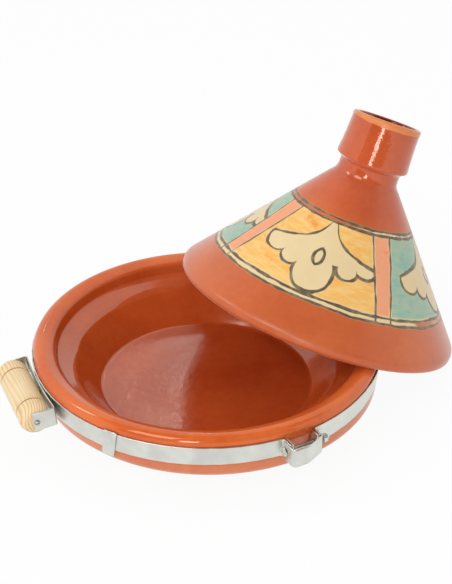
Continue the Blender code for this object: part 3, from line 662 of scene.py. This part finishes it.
# %% Slipped finish of the lid
CONE_RISE = 1.21
RED_CHANGE = (101 * MM, 116 * MM)
OUTER_SKIN = (163 * MM, 166 * MM)
WORN_HEIGHT = (188.0 * MM, 189.4 * MM)
WORN_REACH = (28.2 * MM, 29.2 * MM)
CUP_REACH = (27.6 * MM, 28.6 * MM)
CUP_HEIGHT = (152 * MM, 153 * MM)
GLOSS_HEIGHT = (128 * MM, 142 * MM)
RIPPLE_HEIGHT = (139 * MM, 143 * MM)

slipped, dip, slip = new_finish("painted_red_slip")
lid_here = dip.place_before(LID_PLACE)
lid_body = dip.group(thrown_clay, Place=lid_here, Ring_Spacing=700.0)
lid_paint = dip.group(painted_band, Place=lid_here)
lid_split = dip.split(lid_here)
lid_height = lid_split[2]
lid_reach = dip.reach(lid_split[0], lid_split[1])

red_low = dip.blend(lid_body["Drift"], colour(196, 88, 38), colour(210, 102, 48))
red_top = dip.blend(lid_body["Drift"], colour(190, 78, 37), colour(206, 90, 45))
skin = dip.blend(dip.ramp(lid_height, *RED_CHANGE), red_low, red_top)
skin = dip.blend(dip.times(lid_body["Speck"], 0.6), skin, colour(110, 40, 22))
outside = dip.ramp(dip.plus(dip.times(lid_reach, CONE_RISE), lid_height), *OUTER_SKIN)
paint_share = dip.times(lid_paint["Paint"], outside)
skin = dip.blend(paint_share, skin, lid_paint["Colour"])
ragged_height = dip.plus(lid_height, dip.times(dip.noise(lid_here, 60.0, 2.0), 3 * MM))
worn = dip.times(dip.ramp(ragged_height, *WORN_HEIGHT), dip.ramp(lid_reach, *WORN_REACH))
skin = dip.blend(worn, skin, dip.blend(lid_body["Drift"], colour(222, 124, 64), colour(236, 146, 84)))
in_cup = dip.times(dip.fade(lid_reach, *CUP_REACH), dip.ramp(lid_height, *CUP_HEIGHT))
dip.feed(slip.inputs["Base Color"], dip.blend(in_cup, skin, colour(120, 40, 22)))

# the slip is matt on the cone and glazed on the chimney
dullness = dip.plus(dip.ramp(lid_height, *GLOSS_HEIGHT, 0.36, 0.09), dip.times(paint_share, 0.1))
dip.feed(slip.inputs["Roughness"], dip.plus(dullness, dip.times(worn, 0.3)))
ripple = dip.times(dip.noise(lid_here, 420.0, 2.0), dip.ramp(lid_height, *RIPPLE_HEIGHT, 0.0, 0.5))
lid_relief = dip.plus(lid_body["Relief"], dip.times(lid_paint["Line"], 0.12), ripple)
dip.bump(slip, lid_relief, 0.25, 1.0 * MM)
slip.inputs["IOR"].default_value = 1.7
slip.inputs["Specular Tint"].default_value = (1.0, 0.88, 0.76, 1.0)
slip.inputs["Sheen Weight"].default_value = 0.75
slip.inputs["Sheen Roughness"].default_value = 0.3

# %% [markdown]
# ## The lid
# A cone thrown upside down, with a neck and a short chimney that cools the
# steam and serves as the handle. The chimney is a cup: its floor closes it.
# One section holds the outside and the hollow, and a matrix leans it.

# %% Lid
CONE_RADIUS = 133.0
CONE_EDGE = 9.2
EDGE_ROLL = 3.8
CUP_FLOOR = 153.43
CROWN = 144.43
MOUTH_CENTRE = (29.7, 187.82)
MOUTH_ROLL = 2.6
MOUTH_HEIGHT = 190.4
MOUTH_SLOPE = 0.10


def on_cone(radius):
    """The point of the cone's outside at a radius."""
    return radius, CONE_EDGE + (CONE_RADIUS - radius) * CONE_RISE


def lid_section():
    points = [(0.0, CUP_FLOOR), (20.5, CUP_FLOOR)]
    points += ease((21.3, CUP_FLOOR), (26.3, CUP_FLOOR), (26.3, 158.4), 5)[1:]
    points += straight(points[-1], (27.1, 186.0), 6)
    points += arc(MOUTH_CENTRE, MOUTH_ROLL, 180, 0, 12)
    for corner, end, count in (((31.8, 177.0), (34.1, 151.2), 16), ((34.1, 149.6), (32.6, 149.2), 4),
                               ((30.0, 148.2), (28.8, 145.6), 4), ((28.4, 143.0), (28.6, 139.0), 4),
                               ((28.7, 135.9), on_cone(30.4), 5)):
        points += ease(points[-1], corner, end, count)[1:]
    points += straight(points[-1], on_cone(129.6), 44)
    points += ease(points[-1], (CONE_RADIUS, CONE_EDGE), (CONE_RADIUS, 6.8), 6)[1:]
    points += arc((CONE_RADIUS - EDGE_ROLL, EDGE_ROLL), EDGE_ROLL, 0, -180, 16)
    points += [(125.4, 6.4)]
    points += ease(points[-1], (125.4, 8.6), (121.0, 13.7), 4)[1:]
    points += straight(points[-1], (16.6, 138.0), 24)
    points += ease(points[-1], (11.4, CROWN), (5.7, CROWN), 6)[1:]
    points += [(0.0, CROWN)]
    return points


def nod(shape, floor_height, top_height, slope):
    """Tip the chimney's mouth back a little, as it was cut by hand."""
    back = (math.sin(LEAN_TOWARDS), math.cos(LEAN_TOWARDS))
    for vert in shape.verts:
        share = max(0.0, vert.co.z - floor_height) / (top_height - floor_height)
        vert.co.z -= slope * share * (vert.co.x * back[0] + vert.co.y * back[1])


lid_shape = turned_shape(lid_section(), WHEEL_STEPS)
nod(lid_shape, CUP_FLOOR * MM, MOUTH_HEIGHT * MM, MOUTH_SLOPE)
settle("painted_lid", stand_at(lid_shape, LID_PLACE), slipped, "lid", 50)

# %% [markdown]
# ## Steel strip
# The band, its clip, the clamp and the brackets are cut from thin zinc-plated
# strip: pale, a little cloudy, with fine lengthwise scratches. The screws and
# rivets are duller and the washer is brownish. The imported pieces have the
# right folds, so they are merged, smoothed and dressed.

# %% Steel finishes
SCRATCH = colour(160, 164, 160)


def cloudy_steel(name, clouds, contrast, dark, light, gloss, bump, scratched=False):
    """Plated steel whose tone and gloss drift together."""
    material, wires, shader = new_finish(name, 1.0)
    place = wires.object_place()
    cloud = relief = wires.noise(place, *clouds, 0.6)
    tone = wires.blend(wires.ramp(cloud, *contrast), colour(*dark), colour(*light))
    if scratched:
        relief = wires.noise(wires.stretched(place, (1.0, 1.0, 14.0)), 160.0, 3.0, 0.7)
        tone = wires.blend(wires.ramp(relief, 0.62, 0.8, 0.0, 0.25), tone, SCRATCH)
    wires.feed(shader.inputs["Base Color"], tone)
    wires.feed(shader.inputs["Roughness"], wires.ramp(cloud, 0.3, 0.7, *gloss))
    wires.bump(shader, relief, *bump)
    return material


strip_steel = cloudy_steel("zinc_plated_strip", (55.0, 4.0), (0.3, 0.7), (208, 210, 203), (225, 227, 219),
                           (0.3, 0.42), (0.12, 0.3 * MM), scratched=True)
dull_plate = cloudy_steel("dull_plating", (300.0, 3.0), (0.3, 0.7), (196, 198, 194), (216, 218, 213),
                          (0.5, 0.62), (0.15, 0.2 * MM))
# brownish steel for the washer
brownish_steel = cloudy_steel("brownish_washer_steel", (420.0, 4.0), (0.35, 0.65), (128, 96, 66), (178, 150, 116),
                         (0.4, 0.6), (0.3, 0.2 * MM))

# %% Steel pieces
STRIP_PIECES = (("band_front", "front_band"), ("band_back", "back_band"), ("band_clip", "seam_clip"),
                ("clamp_guard", "bolt_guard"), ("bracket_left", "left_bracket"),
                ("bracket_right", "right_bracket"), ("clamp_bolt", "clamp_screw"), ("clamp_nut", "hex_nut"))


def smoothed(node, name, finish):
    """A merged, smooth-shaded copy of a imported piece, standing for it."""
    shape = bmesh.new()
    shape.from_mesh(frame["nodes"][node].data)
    bmesh.ops.remove_doubles(shape, verts=shape.verts, dist=MERGE_DISTANCE)
    bmesh.ops.dissolve_limit(shape, angle_limit=math.radians(0.5), verts=shape.verts, edges=shape.edges)
    settle(name, shape, finish, node, 30.0)


for node, name in STRIP_PIECES:
    smoothed(node, name, strip_steel)
smoothed("clamp_washer", "flat_washer", brownish_steel)
for node in frame["nodes"]:
    if node.startswith(("grip_screw", "rivet")):
        smoothed(node, "plated_" + node, dull_plate)

# %% [markdown]
# ## Turned pine
# The grips are turned from pale pine, so the year rings run along them and
# close into arches on the rounded ends. A wave of distances from the tree's
# heart, set off to one side, gives both at once.

# %% Group: pine grain
HEART_ASIDE = 17 * MM
HEART_WANDER = 7 * MM
RINGS_PER_METRE = 420.0
GROOVE_SHADE_AT = 24.6 * MM

pine_grain, pine, pine_in, pine_out = new_group(
    "pine_grain",
    [("Place", "NodeSocketVector")],
    [("Colour", "NodeSocketColor"), ("Relief", "NodeSocketFloat")])
wood_point = pine_in["Place"]
bent = pine.noise_directions(pine.stretched(wood_point, (1.0, 1.0, 0.25)), 45.0)
wood_split = pine.split(wood_point)
from_heart_x = pine.plus(wood_split[0], pine.times(bent[0], HEART_WANDER), HEART_ASIDE)
from_heart_y = pine.plus(wood_split[1], pine.times(bent[1], HEART_WANDER))
year = pine.maths("FRACT", pine.times(pine.reach(from_heart_x, from_heart_y), RINGS_PER_METRE))
late = pine.times(pine.ramp(year, 0.35, 0.92), pine.fade(year, 0.93, 1.0))
fibre = pine.noise(pine.stretched(wood_point, (1.0, 1.0, 0.08)), 900.0, 3.0, 0.7)
tone = pine.noise(wood_point, 60.0, 3.0)
pale = pine.blend(tone, colour(232, 206, 160), colour(243, 224, 186))
amber = pine.blend(tone, colour(216, 158, 92), colour(228, 178, 112))
from_middle = pine.unsigned(wood_split[2])
at_ends = pine.ramp(from_middle, 16 * MM, 34 * MM, 0.42, 0.9)
wood_colour = pine.blend(pine.times(late, at_ends), pale, amber)
wood_colour = pine.blend(pine.ramp(fibre, 0.5, 0.8, 0.0, 0.28), wood_colour, colour(206, 160, 100))
# painted shade: darker brown along the two cut rings of each grip, in the grooves
off_ring = pine.plus(pine.unsigned(pine.minus(from_middle, GROOVE_SHADE_AT)), pine.times(fibre, 0.5 * MM))
wood_colour = pine.blend(pine.ramp(off_ring, 0.6 * MM, 1.5 * MM, 0.8, 0.0), wood_colour, colour(146, 84, 38))
pine.feed(pine_out["Colour"], wood_colour)
pine.feed(pine_out["Relief"], pine.plus(pine.times(late, 0.4), fibre))


def pine_finish(name, stand):
    """Pine whose grain runs along a grip that lies in this place."""
    material, wires, shader = new_finish(name)
    grain = wires.group(pine_grain, Place=wires.place_before(stand))
    wires.feed(shader.inputs["Base Color"], grain["Colour"])
    shader.inputs["Roughness"].default_value = 0.55
    wires.bump(shader, grain["Relief"], 0.3, 0.4 * MM)
    return material


# %% [markdown]
# ## The grips
# Each grip is a short turned bar with rounded ends and two cut rings, bored
# from both ends for its screws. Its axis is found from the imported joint.

# %% Grips
GRIP_HALF = 41.5
GRIP_RADIUS = 13.6
GRIP_END_RADIUS = 8.3
GRIP_DOME = 7.4
BORE_RADIUS = 1.95
BORE_DEPTH = 17.0
BORE_CHAMFER = 0.3
CUT_DEPTH = 1.7
LATHE_STEPS = 72


def grip_section():
    half = [(0.0, GRIP_HALF - BORE_DEPTH), (BORE_RADIUS, GRIP_HALF - BORE_DEPTH),
            (BORE_RADIUS, GRIP_HALF - BORE_CHAMFER), (BORE_RADIUS + BORE_CHAMFER, GRIP_HALF)]
    spread = GRIP_RADIUS - GRIP_END_RADIUS
    half += [(GRIP_END_RADIUS + spread * x, GRIP_HALF - GRIP_DOME + GRIP_DOME * z)
             for x, z in arc((0, 0), 1.0, 90, 0, 12)]
    half += straight(half[-1], (GRIP_RADIUS, 26.0), 3)
    half += ease(half[-1], (GRIP_RADIUS - CUT_DEPTH, 24.6), (GRIP_RADIUS, 23.2), 6)[1:]
    half += straight(half[-1], (GRIP_RADIUS + 0.05, 8.0), 3)
    return half + [(x, -z) for x, z in reversed(half)]


for joint in frame["joints"]:
    if not joint["name"].endswith("grip_turn"):
        continue
    hand = joint["name"].split("_")[0]
    lengthwise = Vector(joint["axis"]).normalized()
    outward = Vector((joint["pos_m"][0], joint["pos_m"][1], 0)).normalized()
    outward = (outward - outward.dot(lengthwise) * lengthwise).normalized()
    axes = Matrix((outward, lengthwise.cross(outward), lengthwise)).transposed().to_4x4()
    grip_place = Matrix.Translation(joint["pos_m"]) @ axes
    grip_shape = stand_at(turned_shape(grip_section(), LATHE_STEPS), grip_place)
    settle("pine_grip_" + hand, grip_shape, pine_finish("turned_pine_" + hand, grip_place), "grip_" + hand, 40)
